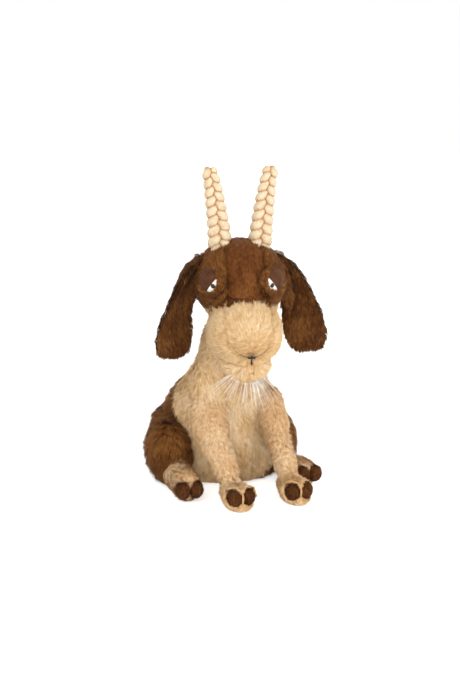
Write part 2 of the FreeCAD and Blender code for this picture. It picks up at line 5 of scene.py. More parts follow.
import bmesh
import bpy
import numpy as np
from mathutils import Matrix, Vector
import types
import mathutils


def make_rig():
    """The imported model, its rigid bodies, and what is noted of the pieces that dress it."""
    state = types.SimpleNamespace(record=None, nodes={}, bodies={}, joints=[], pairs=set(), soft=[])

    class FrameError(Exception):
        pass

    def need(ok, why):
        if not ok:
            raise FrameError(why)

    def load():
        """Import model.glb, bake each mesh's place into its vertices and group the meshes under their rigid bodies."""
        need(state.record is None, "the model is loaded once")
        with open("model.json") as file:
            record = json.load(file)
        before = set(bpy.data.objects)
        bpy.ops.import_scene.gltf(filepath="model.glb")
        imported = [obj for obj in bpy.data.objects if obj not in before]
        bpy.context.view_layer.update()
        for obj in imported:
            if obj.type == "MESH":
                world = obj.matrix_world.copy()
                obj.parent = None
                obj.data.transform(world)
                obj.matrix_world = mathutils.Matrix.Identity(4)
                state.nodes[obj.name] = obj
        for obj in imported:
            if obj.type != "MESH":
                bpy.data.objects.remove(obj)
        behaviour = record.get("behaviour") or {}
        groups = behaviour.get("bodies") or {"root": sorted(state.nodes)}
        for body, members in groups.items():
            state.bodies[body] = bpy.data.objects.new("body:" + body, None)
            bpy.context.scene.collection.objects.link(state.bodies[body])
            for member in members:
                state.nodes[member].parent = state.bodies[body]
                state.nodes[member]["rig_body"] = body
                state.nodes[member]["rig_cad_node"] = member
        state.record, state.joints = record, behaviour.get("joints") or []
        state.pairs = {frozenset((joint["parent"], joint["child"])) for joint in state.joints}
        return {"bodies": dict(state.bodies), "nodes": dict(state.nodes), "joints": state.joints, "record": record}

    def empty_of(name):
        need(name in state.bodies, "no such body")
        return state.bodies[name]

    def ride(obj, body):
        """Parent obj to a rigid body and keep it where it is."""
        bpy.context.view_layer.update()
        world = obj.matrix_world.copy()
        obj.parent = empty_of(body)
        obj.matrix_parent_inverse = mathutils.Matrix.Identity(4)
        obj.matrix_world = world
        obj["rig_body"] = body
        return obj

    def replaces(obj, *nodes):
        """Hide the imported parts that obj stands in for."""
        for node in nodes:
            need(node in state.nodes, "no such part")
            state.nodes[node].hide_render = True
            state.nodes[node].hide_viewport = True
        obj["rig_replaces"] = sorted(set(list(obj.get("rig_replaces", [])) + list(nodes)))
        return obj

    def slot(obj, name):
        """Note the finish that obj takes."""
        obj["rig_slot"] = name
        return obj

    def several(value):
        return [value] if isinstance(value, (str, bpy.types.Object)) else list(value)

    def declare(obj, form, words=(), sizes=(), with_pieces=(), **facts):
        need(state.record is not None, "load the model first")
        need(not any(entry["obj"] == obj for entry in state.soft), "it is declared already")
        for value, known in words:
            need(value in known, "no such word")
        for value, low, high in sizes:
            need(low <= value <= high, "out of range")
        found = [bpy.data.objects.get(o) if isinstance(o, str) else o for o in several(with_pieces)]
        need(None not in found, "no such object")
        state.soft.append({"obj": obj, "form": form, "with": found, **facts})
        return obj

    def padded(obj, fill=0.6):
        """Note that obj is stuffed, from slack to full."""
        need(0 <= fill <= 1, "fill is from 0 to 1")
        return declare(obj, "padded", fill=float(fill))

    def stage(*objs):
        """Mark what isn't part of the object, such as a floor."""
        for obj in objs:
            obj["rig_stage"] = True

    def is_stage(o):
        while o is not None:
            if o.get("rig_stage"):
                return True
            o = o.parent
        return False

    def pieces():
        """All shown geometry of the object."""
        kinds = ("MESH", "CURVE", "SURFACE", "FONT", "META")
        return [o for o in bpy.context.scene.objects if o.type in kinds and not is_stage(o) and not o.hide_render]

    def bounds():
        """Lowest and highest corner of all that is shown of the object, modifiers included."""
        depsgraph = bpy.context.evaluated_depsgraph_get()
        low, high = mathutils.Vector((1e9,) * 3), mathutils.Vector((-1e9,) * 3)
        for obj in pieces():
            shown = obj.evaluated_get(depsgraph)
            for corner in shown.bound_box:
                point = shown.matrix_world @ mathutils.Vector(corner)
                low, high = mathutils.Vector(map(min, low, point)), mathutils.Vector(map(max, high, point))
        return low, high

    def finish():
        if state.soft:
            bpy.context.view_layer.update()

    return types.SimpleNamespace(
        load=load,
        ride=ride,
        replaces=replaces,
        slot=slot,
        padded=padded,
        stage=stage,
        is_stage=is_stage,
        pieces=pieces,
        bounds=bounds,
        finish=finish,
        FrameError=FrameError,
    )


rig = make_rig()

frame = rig.load()
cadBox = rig.bounds()
nodes = frame["nodes"]
scene = bpy.context.scene
mm = 0.001


def say(words):
    print("goat:", words, flush=True)


# ---- small helpers ----
def hexToLinear(text):
    parts = [int(text[i:i + 2], 16) / 255 for i in (1, 3, 5)]
    return tuple(c / 12.92 if c <= 0.04045 else ((c + 0.055) / 1.055) ** 2.4 for c in parts) + (1.0,)


def addNode(tree, kind, settings=None, stops=(), **inputs):
    # settings are node properties and stops a ramp's places with their colours or greys;
    # inputs are values or (node, output) links, named with _ for a space or numbered as i0, i1
    node = tree.nodes.new(kind)
    for key, value in (settings or {}).items():
        setattr(node, key, value)
    for k, (place, colour) in enumerate(stops):
        ramp = node.color_ramp
        if k >= len(ramp.elements):
            ramp.elements.new(1.0)
        ramp.elements[k].position = place
        ramp.elements[k].color = hexToLinear(colour) if isinstance(colour, str) else (colour, colour, colour, 1)
    for key, value in inputs.items():
        numbered = key[0] == "i" and key[1:].isdigit()
        socket = node.inputs[int(key[1:]) if numbered else key.replace("_", " ")]
        if isinstance(value, tuple) and len(value) == 2 and hasattr(value[0], "outputs"):
            tree.links.new(value[0].outputs[value[1]], socket)
        else:
            socket.default_value = value
    return node


def newMaterial(name):
    material = bpy.data.materials.new(name)
    material.use_nodes = True
    tree = material.node_tree
    tree.nodes.clear()
    return material, tree


def finishMaterial(tree, shader):
    addNode(tree, "ShaderNodeOutputMaterial", None, Surface=(shader, 0))


# the head stands turned on the neck, so its pieces are worked out facing -Y and turned back
headPose = {"turn": math.radians(-10), "neckY": -15 * mm, "sideX": 4.5 * mm}


def toHeadFrame(points):
    c, s = math.cos(-headPose["turn"]), math.sin(-headPose["turn"])
    p = np.array(points, dtype=float)
    x, y = p[..., 0].copy(), p[..., 1] - headPose["neckY"]
    p[..., 0] = x * c - y * s - headPose["sideX"]
    p[..., 1] = x * s + y * c + headPose["neckY"]
    return p


def fromHeadFrame(points):
    c, s = math.cos(headPose["turn"]), math.sin(headPose["turn"])
    p = np.array(points, dtype=float)
    x, y = p[..., 0] + headPose["sideX"], p[..., 1] - headPose["neckY"]
    p[..., 0] = x * c - y * s
    p[..., 1] = x * s + y * c + headPose["neckY"]
    return p


def turnFromHead(vectors):
    c, s = math.cos(headPose["turn"]), math.sin(headPose["turn"])
    v = np.array(vectors, dtype=float)
    x, y = v[..., 0].copy(), v[..., 1].copy()
    v[..., 0] = x * c - y * s
    v[..., 1] = x * s + y * c
    return v


def meshArrays(mesh):
    points = np.empty(len(mesh.vertices) * 3)
    mesh.vertices.foreach_get("co", points)
    normals = np.empty(len(mesh.vertices) * 3)
    mesh.vertices.foreach_get("normal", normals)
    return points.reshape(-1, 3), normals.reshape(-1, 3)


def setPoints(mesh, points):
    mesh.vertices.foreach_set("co", np.asarray(points, dtype=np.float32).ravel())
    mesh.update()


def bakeModifiers(piece):
    graph = bpy.context.evaluated_depsgraph_get()
    done = bpy.data.meshes.new_from_object(piece.evaluated_get(graph))
    piece.modifiers.clear()
    piece.data = done
    return piece


def linkPiece(name, mesh):
    piece = bpy.data.objects.new(name, mesh)
    scene.collection.objects.link(piece)
    return piece


def tubeMesh(paths, sides=4):
    # round tubes along lists of points, each with its own radii
    curve = bpy.data.curves.new("tubes", "CURVE")
    curve.dimensions = "3D"
    curve.bevel_depth = 1.0
    curve.bevel_resolution = sides
    curve.use_fill_caps = True
    for points, radii in paths:
        line = curve.splines.new("POLY")
        line.points.add(len(points) - 1)
        line.points.foreach_set("co", np.hstack([points, np.ones((len(points), 1))]).ravel())
        line.points.foreach_set("radius", radii)
    rope = bpy.data.objects.new("rope", curve)
    scene.collection.objects.link(rope)
    mesh = bpy.data.meshes.new_from_object(rope.evaluated_get(bpy.context.evaluated_depsgraph_get()))
    bpy.data.objects.remove(rope)
    bpy.data.curves.remove(curve)
    mesh.polygons.foreach_set("use_smooth", [True] * len(mesh.polygons))
    return mesh


def smoothNoise(points, scale, seed):
    # a cheap soft field from a few sine waves; scale is the wavelength
    rng = np.random.default_rng(seed)
    total = np.zeros(len(points))
    for k in range(7):
        way = rng.normal(size=3)
        way /= np.linalg.norm(way)
        pitch = 2 * math.pi / (scale * rng.uniform(0.7, 1.4))
        total += np.sin(points @ way * pitch + rng.uniform(0, 6.28))
    return total / 2.6


def unit(vectors):
    return vectors / np.maximum(np.linalg.norm(vectors, axis=-1, keepdims=True), 1e-12)


# ---- stuffed skins, grown from the CAD solids ----
def gatherNodes(names):
    shell = bmesh.new()
    for name in names:
        part = nodes[name].data.copy()
        part.transform(nodes[name].matrix_world)
        shell.from_mesh(part)
        bpy.data.meshes.remove(part)
    bmesh.ops.remove_doubles(shell, verts=shell.verts, dist=0.02 * mm)
    return shell


def keepOuterShell(piece):
    # inner walls left by the remesh go; the shell that reaches furthest stays
    shell = bmesh.new()
    shell.from_mesh(piece.data)
    start = max(shell.verts, key=lambda v: v.co.length)
    seen, front = {start}, [start]
    while front:
        step = front.pop()
        for edge in step.link_edges:
            other = edge.other_vert(step)
            if other not in seen:
                seen.add(other)
                front.append(other)
    bmesh.ops.delete(shell, geom=[v for v in shell.verts if v not in seen], context="VERTS")
    shell.to_mesh(piece.data)
    shell.free()


def stuffedSkin(name, names, voxel=3.0, inset=3.5, rounds=4, swells=()):
    # remeshed as one cloth, smoothed where the panels meet, then drawn in to leave room for the pile
    shell = gatherNodes(names)
    for middle, half, lean in swells:
        place = Matrix.Translation(Vector(middle) * mm) @ Matrix.Rotation(math.radians(lean[1]), 4, "Y")
        place = place @ Matrix.Rotation(math.radians(lean[0]), 4, "X")
        place = place @ Matrix.Diagonal((*[h * mm for h in half], 1))
        bmesh.ops.create_uvsphere(shell, u_segments=32, v_segments=20, radius=1, matrix=place)
    mesh = bpy.data.meshes.new(name)
    shell.to_mesh(mesh)
    shell.free()
    piece = linkPiece(name, mesh)
    remesh = piece.modifiers.new("cloth", "REMESH")
    remesh.mode = "VOXEL"
    remesh.voxel_size = voxel * mm
    bakeModifiers(piece)
    keepOuterShell(piece)
    shell = bmesh.new()
    shell.from_mesh(piece.data)
    for k in range(rounds):
        bmesh.ops.smooth_vert(
            shell, verts=shell.verts, factor=0.5, use_axis_x=True, use_axis_y=True, use_axis_z=True,
        )
    bmesh.ops.recalc_face_normals(shell, faces=shell.faces)
    shell.to_mesh(piece.data)
    shell.free()
    points, normals = meshArrays(piece.data)
    draw = normals * inset * mm
    draw[:, 2] *= np.where(draw[:, 2] < 0, np.clip(points[:, 2] / (9 * mm), 0.05, 1), 1)
    setPoints(piece.data, points - draw)
    piece.data.polygons.foreach_set("use_smooth", [True] * len(piece.data.polygons))
    return piece


def fillSole(piece, middle, half, low):
    # a stuffed foot stands on its whole sole: the lower ring is pushed out under the middle of the foot
    points, _ = meshArrays(piece.data)
    centre, size = np.array(middle) * mm, np.array(half) * mm
    rise = np.clip((low * mm - points[:, 2]) / (low * mm), 0, 1)
    shape = np.sqrt(np.clip(1 - rise ** 2, 0.05, 1))
    near = np.linalg.norm((points[:, :2] - centre) / size, axis=1) < 1.15
    grow = np.where(near, np.minimum(1 / shape, 2.2) ** 0.8, 1)
    points[:, :2] = centre + (points[:, :2] - centre) * grow[:, None]
    limit = np.linalg.norm((points[:, :2] - centre) / size, axis=1)
    back = np.where(near & (limit > 0.94) & (rise > 0), 0.94 / np.maximum(limit, 1e-6), 1)
    points[:, :2] = centre + (points[:, :2] - centre) * back[:, None]
    setPoints(piece.data, points)


def pullSeam(piece, distance, depth, width):
    # draws the cloth in along a seam; distance gives each point's distance from the seam line
    points, normals = meshArrays(piece.data)
    away = distance(points)
    pull = depth * mm * np.exp(-(away / (width * mm)) ** 2)
    setPoints(piece.data, points - normals * pull[:, None])


def backingMaterial(name, light, dark):
    # knitted backing of the plush; nearly hidden, so only its colour and a fine loop bump show
    material, tree = newMaterial(name)
    place = addNode(tree, "ShaderNodeTexCoord")
    loops = addNode(tree, "ShaderNodeTexNoise", None, Vector=(place, "Object"), Scale=900.0, Detail=2.0)
    drift = addNode(tree, "ShaderNodeTexNoise", None, Vector=(place, "Object"), Scale=60.0, Detail=3.0)
    ramp = addNode(tree, "ShaderNodeValToRGB", None, [(0.3, dark), (0.7, light)], Fac=(drift, 0))
    bump = addNode(tree, "ShaderNodeBump", None, Strength=0.4, Distance=0.0006, Height=(loops, 0))
    cloth = addNode(
        tree, "ShaderNodeBsdfPrincipled", None, Base_Color=(ramp, 0), Roughness=0.95, Normal=(bump, 0),
    )
    cloth.inputs["Specular IOR Level"].default_value = 0.1
    finishMaterial(tree, cloth)
    return material


def pileMaterial(name, stops, edge):
    # polyester pile: u carries the tone of a tuft, v runs from the root to the tip, and edge is painted shade that
    # darkens the roots between the fibres
    material, tree = newMaterial(name)
    place = addNode(tree, "ShaderNodeUVMap", {"uv_map": "OFBake"})
    split = addNode(tree, "ShaderNodeSeparateXYZ", None, Vector=(place, 0))
    tone = addNode(tree, "ShaderNodeValToRGB", None, stops, Fac=(split, 0))
    along = addNode(tree, "ShaderNodeValToRGB", None, list(zip((0.0, 0.5, 1.0), edge)), Fac=(split, 1))
    multiply = {"data_type": "RGBA", "blend_type": "MULTIPLY"}
    shade = addNode(tree, "ShaderNodeMix", multiply, i0=1.0, i6=(tone, 0), i7=(along, 0))
    fibre = addNode(tree, "ShaderNodeBsdfPrincipled", None, Base_Color=(shade, 2), Roughness=0.75)
    fibre.inputs["Specular IOR Level"].default_value = 0.12
    fibre.inputs["Sheen Weight"].default_value = 0.03
    fibre.inputs["Sheen Roughness"].default_value = 0.5
    finishMaterial(tree, fibre)
    return material


def growPile(name, skin, material, lay, keep=None, tone=None, length=8.0, perMm2=3.2, width=0.5, lift=0.42,
             clump=0.10, clumpSize=6.0, curl=0.16, seed=1, shortAt=None, facing=None):
    # one flat fibre bundle is a kite of two faces bent at its middle, rooted in the skin
    mesh = skin.data
    mesh.calc_loop_triangles()
    points, normals = meshArrays(mesh)
    corners = np.empty(len(mesh.loop_triangles) * 3, dtype=np.int32)
    mesh.loop_triangles.foreach_get("vertices", corners)
    corners = corners.reshape(-1, 3)
    a, b, c = (points[corners[:, k]] for k in range(3))
    area = np.linalg.norm(np.cross(b - a, c - a), axis=1) / 2
    rng = np.random.default_rng(seed)
    count = int(area.sum() * 1e6 * perMm2)
    pick = rng.choice(len(corners), count, p=area / area.sum())
    r1, r2 = rng.random((2, count, 1))
    flip = r1 + r2 > 1
    r1, r2 = np.where(flip, 1 - r1, r1), np.where(flip, 1 - r2, r2)
    root = a[pick] + r1 * (b[pick] - a[pick]) + r2 * (c[pick] - a[pick])
    na, nb, nc = (normals[corners[pick, k]] for k in range(3))
    out = unit(na + r1 * (nb - na) + r2 * (nc - na))
    if keep is not None:
        stay = keep(root, rng)
        root, out = root[stay], out[stay]
    count = len(root)
    way = lay(root, out)
    way = unit(way - out * np.sum(way * out, axis=1, keepdims=True))
    side = np.cross(out, way)
    swirl = smoothNoise(root, 22 * mm, seed + 5)[:, None] * 0.22 + rng.normal(size=(count, 1)) * curl
    way = unit(way + side * swirl)
    # tips lean towards the middle of their tuft
    pull = np.zeros_like(root)
    for axis in range(3):
        shift = np.zeros(3)
        shift[axis] = 0.4 * mm
        ahead, behind = (smoothNoise(root + sign * shift, clumpSize * mm, seed + 9) for sign in (1, -1))
        pull[:, axis] = ahead - behind
    pull -= out * np.sum(pull * out, axis=1, keepdims=True)
    pull *= clump * 8
    size = 1 + 0.18 * rng.normal(size=(count, 1)).clip(-2, 2) + 0.10 * smoothNoise(root, 14 * mm, seed + 3)[:, None]
    size *= length * mm
    if shortAt is not None:
        size *= shortAt(root)[:, None]
    rise = lift * (1 + 0.18 * rng.normal(size=(count, 1)).clip(-2, 2))
    first = unit(out * (rise + 0.35) + way * 0.75 + pull * 0.4)
    second = unit(out * (rise * 0.45) + way + pull + rng.normal(size=(count, 3)) * 0.10)
    middle = root + first * size * 0.5
    tip = middle + second * size * 0.55
    across = unit(np.cross(second, out) + rng.normal(size=(count, 3)) * 0.22)
    half = width * mm * 0.5 * (1 + 0.25 * rng.normal(size=(count, 1)).clip(-2, 2))
    quad = np.stack([root - out * 0.3 * mm, middle - across * half, middle + across * half, tip], axis=1)
    quad[:, :, 2] = np.maximum(quad[:, :, 2], 0.2 * mm)
    fibres = bpy.data.meshes.new(name)
    fibres.vertices.add(count * 4)
    fibres.vertices.foreach_set("co", quad.astype(np.float32).ravel())
    base = np.arange(count, dtype=np.int32)[:, None] * 4
    loops = (base + np.array([[0, 2, 1, 1, 2, 3]], dtype=np.int32)).ravel()
    fibres.loops.add(count * 6)
    fibres.loops.foreach_set("vertex_index", loops)
    fibres.polygons.add(count * 2)
    fibres.polygons.foreach_set("loop_start", np.arange(count * 2, dtype=np.int32) * 3)
    shade = 0.5 + 0.11 * smoothNoise(root, 30 * mm, seed + 1) + 0.14 * smoothNoise(root, 4 * mm, seed + 2)
    shade += rng.normal(size=count) * 0.17
    if tone is not None:
        shade = shade + tone(root)
    shade = shade.clip(0.02, 0.98)
    uv = fibres.uv_layers.new(name="OFBake")
    along = np.array([0.02, 0.5, 0.5, 0.5, 0.5, 0.98])
    offset = np.array([0.0, 0.006, -0.006, -0.006, 0.006, 0.0])
    table = np.empty((count, 6, 2))
    table[:, :, 0] = shade[:, None] + offset
    table[:, :, 1] = along
    uv.data.foreach_set("uv", table.astype(np.float32).ravel())
    fibres.materials.append(material)
    fibres.update()
    fibres.validate()
    soft = unit(out * 0.85 + first * 0.15 + rng.normal(size=(count, 3)) * 0.10)
    if facing is not None:
        soft = unit(soft * 0.4 + np.array(facing))
    fibres.polygons.foreach_set("use_smooth", [True] * len(fibres.polygons))
    fibres.normals_split_custom_set_from_vertices(np.repeat(soft, 4, axis=0).tolist())
    say("%s: %d fibres" % (name, count))
    return linkPiece(name, fibres)


# ---- fabrics ----
creamBacking = backingMaterial("cream knitted backing", "#d9b485", "#c29662")
brownBacking = backingMaterial("brown knitted backing", "#5c3517", "#3f220d")
# painted shade at the fibre roots: each pile's last triple, like this one, darkens its tone from the root over the
# middle to the tip
paintedRootShade = (0.72, 0.93, 1.0)
creamPile = pileMaterial(
    "cream polyester plush, long pile",
    [(0.0, "#cfa36d"), (0.5, "#e6c594"), (1.0, "#f6e2c2")], (0.74, 0.93, 1.0),
)
creamCurl = pileMaterial(
    "cream polyester plush, short curly pile", [(0.0, "#cc9764"), (0.5, "#e3be8e"), (1.0, "#f4dfbf")], paintedRootShade,
)
brownPile = pileMaterial(
    "brown polyester plush, long pile",
    [(0.0, "#4a270c"), (0.5, "#74461c"), (1.0, "#a97741")], (0.7, 0.92, 1.0),
)
crownPile = pileMaterial(
    "red-brown polyester plush, short pile", [(0.0, "#4b260c"), (0.5, "#6d3e19"), (1.0, "#8f5c30")], paintedRootShade,
)
earPile = pileMaterial(
    "dark brown polyester plush", [(0.0, "#371c08"), (0.5, "#5d3515"), (1.0, "#8f6133")], (0.7, 0.92, 1.0),
)
hoofPile = pileMaterial(
    "dark brown clipped plush", [(0.0, "#361b08"), (0.5, "#593214"), (1.0, "#7b4d28")], paintedRootShade,
)


def downward(root, out):
    return np.tile([0.0, 0.0, -1.0], (len(root), 1))


def colourFaces(piece, test):
    # test picks the faces of the second material from their middles
    mids = np.empty(len(piece.data.polygons) * 3)
    piece.data.polygons.foreach_get("center", mids)
    piece.data.polygons.foreach_set("material_index", test(mids.reshape(-1, 3)).astype(np.int32))


# ---- trunk and neck ----
trunkSizes = {
    "backRadius": 150 * mm, "backY": 136 * mm, "backZ": 10 * mm, "neckSeam": 105 * mm,
    "shoulders": [((-33, -31, 101), (17, 17, 33), (-16, -4)), ((26, -31, 84), (14, 15, 24), (-16, 4))],
    "haunches": [((-49, 26, 46), (24, 33, 27), (0, 0))],
}


def isBack(p):
    away = np.hypot(p[:, 1] - trunkSizes["backY"], p[:, 2] - trunkSizes["backZ"])
    inside = away < trunkSizes["backRadius"]
    high = p[:, 2] > trunkSizes["neckSeam"]
    below = (p[:, 2] < 50 * mm) & (p[:, 0] > 14 * mm + p[:, 2] * 0.9)
    return np.where(high, p[:, 1] > 24 * mm - (p[:, 2] - trunkSizes["neckSeam"]) * 0.25, inside) | below


def trunkLay(root, out):
    way = downward(root, out)
    way[:, 1] += 0.15 * np.sign(root[:, 1])
    return way


def trunkToneAndPaintedLight(root):
    # painted light brightens the middle of the chest, painted shade darkens the belly seam and the throat under the
    # chin to a peachier tone, and the pile is a little darker low on the flanks
    x, z, front = root[:, 0] / mm, root[:, 2] / mm, root[:, 1] < 0
    seam = np.exp(-(x / 5) ** 2) * front * (z < 112)
    throatPaintedShade = np.exp(-(x / 24) ** 2 - ((z - 118) / 20) ** 2) * front
    chestPaintedLight = np.exp(-(x / 26) ** 2 - ((z - 78) / 26) ** 2) * front
    return 0.22 * chestPaintedLight - 0.14 * seam - 0.10 * throatPaintedShade - 0.06 * np.clip(1 - root[:, 2] / (50 * mm), 0, 1)


def slimFarSide(piece):
    # the toy leans away from its far side, which is slimmer at the neck and above the far hip
    points, _ = meshArrays(piece.data)
    neck = np.exp(-((points[:, 2] - 118 * mm) / (30 * mm)) ** 2)
    flank = np.exp(-((points[:, 2] - 66 * mm) / (26 * mm)) ** 2)
    points[:, 0] *= 1 - (0.29 * neck + 0.14 * flank) * (points[:, 0] > 0)
    setPoints(piece.data, points)


def bellySeam(p):
    return np.where((p[:, 1] < 10 * mm) & (p[:, 2] < 112 * mm), np.abs(p[:, 0]), 1.0)


def creamTrunk(p, rng):
    return ~isBack(p) & (p[:, 2] > 3 * mm)


def brownTrunk(p, rng):
    return isBack(p) & (p[:, 2] > 3 * mm)


trunkNodes = ["torso_front", "torso_back", "seat_panel", "torso_stuffing", "pellet_bag", "neck"]
trunk = stuffedSkin("trunkSkin", trunkNodes, 3.5, 4.0, 6, trunkSizes["shoulders"] + trunkSizes["haunches"])
slimFarSide(trunk)
trunk.data.materials.append(creamBacking)
trunk.data.materials.append(brownBacking)
pullSeam(trunk, bellySeam, 1.6, 3.0)
colourFaces(trunk, isBack)
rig.ride(trunk, "trunk")
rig.replaces(trunk, "torso_front", "torso_back", "seat_panel", "neck")
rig.slot(trunk, "cream_long_plush")
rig.padded(trunk, fill=0.8)
furTrunkCream = growPile(
    "trunkPileCream", trunk, creamPile, trunkLay, keep=creamTrunk, length=8.5, perMm2=3.0, clump=0.12,
    tone=trunkToneAndPaintedLight, seed=11,
)
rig.ride(furTrunkCream, "trunk")
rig.slot(furTrunkCream, "cream_long_plush")
furTrunkBrown = growPile(
    "trunkPileBrown", trunk, brownPile, trunkLay, keep=brownTrunk, length=10.0, clump=0.14, clumpSize=8.0,
    seed=12,
)
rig.ride(furTrunkBrown, "trunk")
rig.slot(furTrunkBrown, "brown_plush")
say("trunk done")

# ---- limbs ----
hoofHalf = (7.2, 10, 7.6)
footMiddles = {
    "front_right": (-29.5, -116), "front_left": (29.5, -116),
    "hind_right": (-68.5, -78.5), "hind_left": (59.5, -68.5),
}
hoofStep, hoofHeight = 7.35, 13.5


def offHooves(p, foot):
    x, y = footMiddles[foot]
    free = np.ones(len(p), dtype=bool)
    for step in (-hoofStep, hoofStep):
        away = (p / mm - np.array([x + step, y, hoofHeight])) / (np.array(hoofHalf) * 0.88)
        free &= (away ** 2).sum(axis=1) > 1
    between = (np.abs(p[:, 0] / mm - x) < hoofStep) & (np.abs(p[:, 2] / mm - hoofHeight) < 5.5) & (p[:, 1] / mm < y)
    return free & ~between


def forward(root, out):
    return np.tile([0.0, -1.0, -0.3], (len(root), 1))


def overToe(root, out):
    return np.tile([0.0, -0.4, -1.0], (len(root), 1))


for number, word in enumerate(("right", "left")):
    legNodes = ["upper_arm_" + word, "forearm_" + word, "front_foot_" + word]
    leg = stuffedSkin("frontLeg_" + word, legNodes, 2.5, 3.2, 3)
    leg.data.materials.append(creamBacking)
    side = 1 if word == "left" else -1
    fillSole(leg, (side * 29.5, -102), (17, 25), 11)
    points, _ = meshArrays(leg.data)
    high = np.clip((points[:, 2] - 22 * mm) / (30 * mm), 0, 1) * (side > 0)
    points[:, 0] -= (0.2 * (points[:, 0] - 20 * mm) + 3 * mm) * high
    setPoints(leg.data, points)
    elbow, fetlock = np.array([side * 36.5, -58, 52]) * mm, np.array([side * 29.5, -87, 22]) * mm
    run = unit(fetlock - elbow)
    pullSeam(leg, lambda p: np.abs((p - elbow) @ run), 1.3, 1.8)
    pullSeam(leg, lambda p: np.abs((p - fetlock) @ run), 1.3, 1.8)
    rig.ride(leg, "front_leg_" + word)
    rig.replaces(leg, "upper_arm_" + word, "forearm_" + word, "front_foot_" + word)
    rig.slot(leg, "cream_short_plush")
    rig.padded(leg, fill=0.85)
    pile = growPile(
        "frontLegPile_" + word, leg, creamCurl, downward, length=6.0, perMm2=3.4, curl=0.35, clumpSize=4.5,
        keep=lambda p, rng: (p[:, 2] > 1.5 * mm) & offHooves(p, "front_" + word),
        shortAt=lambda p: np.interp(p[:, 2] / mm, [0, 18, 40, 55, 90], [0.45, 0.6, 0.72, 1.0, 1.15]),
        seed=21 + number,
    )
    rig.ride(pile, "front_leg_" + word)
    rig.slot(pile, "cream_short_plush")
    thigh = stuffedSkin("thighSkin_" + word, ["thigh_" + word], 2.5, 4.0, 2)
    points, _ = meshArrays(thigh.data)
    points[:, 0] = np.where(points[:, 0] > 35 * mm, 35 * mm + 0.72 * (points[:, 0] - 35 * mm), points[:, 0])
    setPoints(thigh.data, points)
    thigh.data.materials.append(brownBacking)
    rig.ride(thigh, "hind_leg_" + word)
    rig.replaces(thigh, "thigh_" + word)
    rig.slot(thigh, "brown_plush")
    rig.padded(thigh, fill=0.85)
    pile = growPile(
        "thighPile_" + word, thigh, brownPile, downward, length=10.0, clump=0.14, clumpSize=8.0,
        keep=lambda p, rng: p[:, 2] > 3 * mm, seed=31 + number,
    )
    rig.ride(pile, "hind_leg_" + word)
    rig.slot(pile, "brown_plush")
    shank = stuffedSkin("hindFootSkin_" + word, ["hind_foot_" + word], 2.5, 3.0, 3)
    points, _ = meshArrays(shank.data)
    points[:, 2] *= 0.8 if word == "left" else 1
    setPoints(shank.data, points)
    shank.data.materials.append(creamBacking)
    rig.ride(shank, "hind_leg_" + word)
    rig.replaces(shank, "hind_foot_" + word)
    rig.slot(shank, "cream_short_plush")
    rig.padded(shank, fill=0.85)
    pile = growPile(
        "hindFootPile_" + word, shank, creamCurl, forward, length=4.8, perMm2=3.4, curl=0.35, clumpSize=4.5,
        keep=lambda p, rng: (p[:, 2] > 1.5 * mm) & offHooves(p, "hind_" + word), seed=41 + number,
    )
    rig.ride(pile, "hind_leg_" + word)
    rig.slot(pile, "cream_short_plush")
    for limb in ("front", "hind"):
        for where in ("inner", "outer"):
            node = "%s_hoof_%s_%s" % (limb, word, where)
            pad = stuffedSkin("%sHoof_%s_%s" % (limb, word, where), [node], 1.2, 0.3, 2)
            points, _ = meshArrays(pad.data)
            x, y = [v * mm for v in footMiddles["%s_%s" % (limb, word)]]
            points[:, 1] = np.where(points[:, 1] < y, y + (points[:, 1] - y) * 0.72, points[:, 1])
            points[:, 0] = x + (points[:, 0] - x) * 0.9
            setPoints(pad.data, points)
            pad.data.materials.append(brownBacking)
            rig.ride(pad, limb + "_leg_" + word)
            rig.replaces(pad, node)
            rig.slot(pad, "hoof_plush")
            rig.padded(pad, fill=0.9)
            pile = growPile(
                "%sHoofPile_%s_%s" % (limb, word, where), pad, hoofPile, overToe, length=2.6, width=0.4,
                perMm2=5.5, lift=0.55,
                keep=lambda p, rng: p[:, 2] > 2.2 * mm, seed=50,
            )
            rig.ride(pile, limb + "_leg_" + word)
            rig.slot(pile, "hoof_plush")
tail = stuffedSkin("tailSkin", ["tail"], 2.0, 2.5, 2)
tail.data.materials.append(brownBacking)
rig.ride(tail, "tail")
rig.replaces(tail, "tail")
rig.slot(tail, "brown_plush")
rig.padded(tail, fill=0.7)
pile = growPile("tailPile", tail, brownPile, downward, length=9.0, seed=61)
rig.ride(pile, "tail")
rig.slot(pile, "brown_plush")
say("limbs done")

# ---- head ----
headNodes = [
    "head_gusset", "head_side_right", "head_side_left", "nose_bridge", "muzzle_side_right", "muzzle_side_left",
    "chin",
]
headForms = {
    "head": ((0, -22, 204), (46, 46, 44)), "muzzle": ((0, -50, 158), (37.8, 42, 38)),
    "chin": ((0, -63, 128.5), (24.5, 23, 19)),
}


def formValue(p, name):
    middle, half = headForms[name]
    return (((p / mm - np.array(middle)) / np.array(half)) ** 2).sum(axis=1)


def creamTop(p):
    return 185 * mm - 8 * mm * (p[:, 0] / (32 * mm)) ** 2


def isCreamFace(points):
    p = toHeadFrame(points)
    cream = np.minimum(formValue(p, "muzzle"), formValue(p, "chin")) < formValue(p, "head") + 0.22
    return cream & (p[:, 2] < creamTop(p))


def faceLay(root, out):
    # the pile runs away from the nose, and down at the back of the head
    p = toHeadFrame(root)
    nose = np.array([0, -88 * mm, 146 * mm])
    way = unit(p - nose)
    behind = np.clip((p[:, 1] + 30 * mm) / (40 * mm), 0, 1)[:, None]
    way = way * (1 - behind) + np.array([0, 0.2, -1.0]) * behind
    return turnFromHead(way)


head = stuffedSkin("headSkin", headNodes + ["head_stuffing", "muzzle_stuffing"], 3.0, 4.0, 4)
head.data.materials.append(brownBacking)
head.data.materials.append(creamBacking)


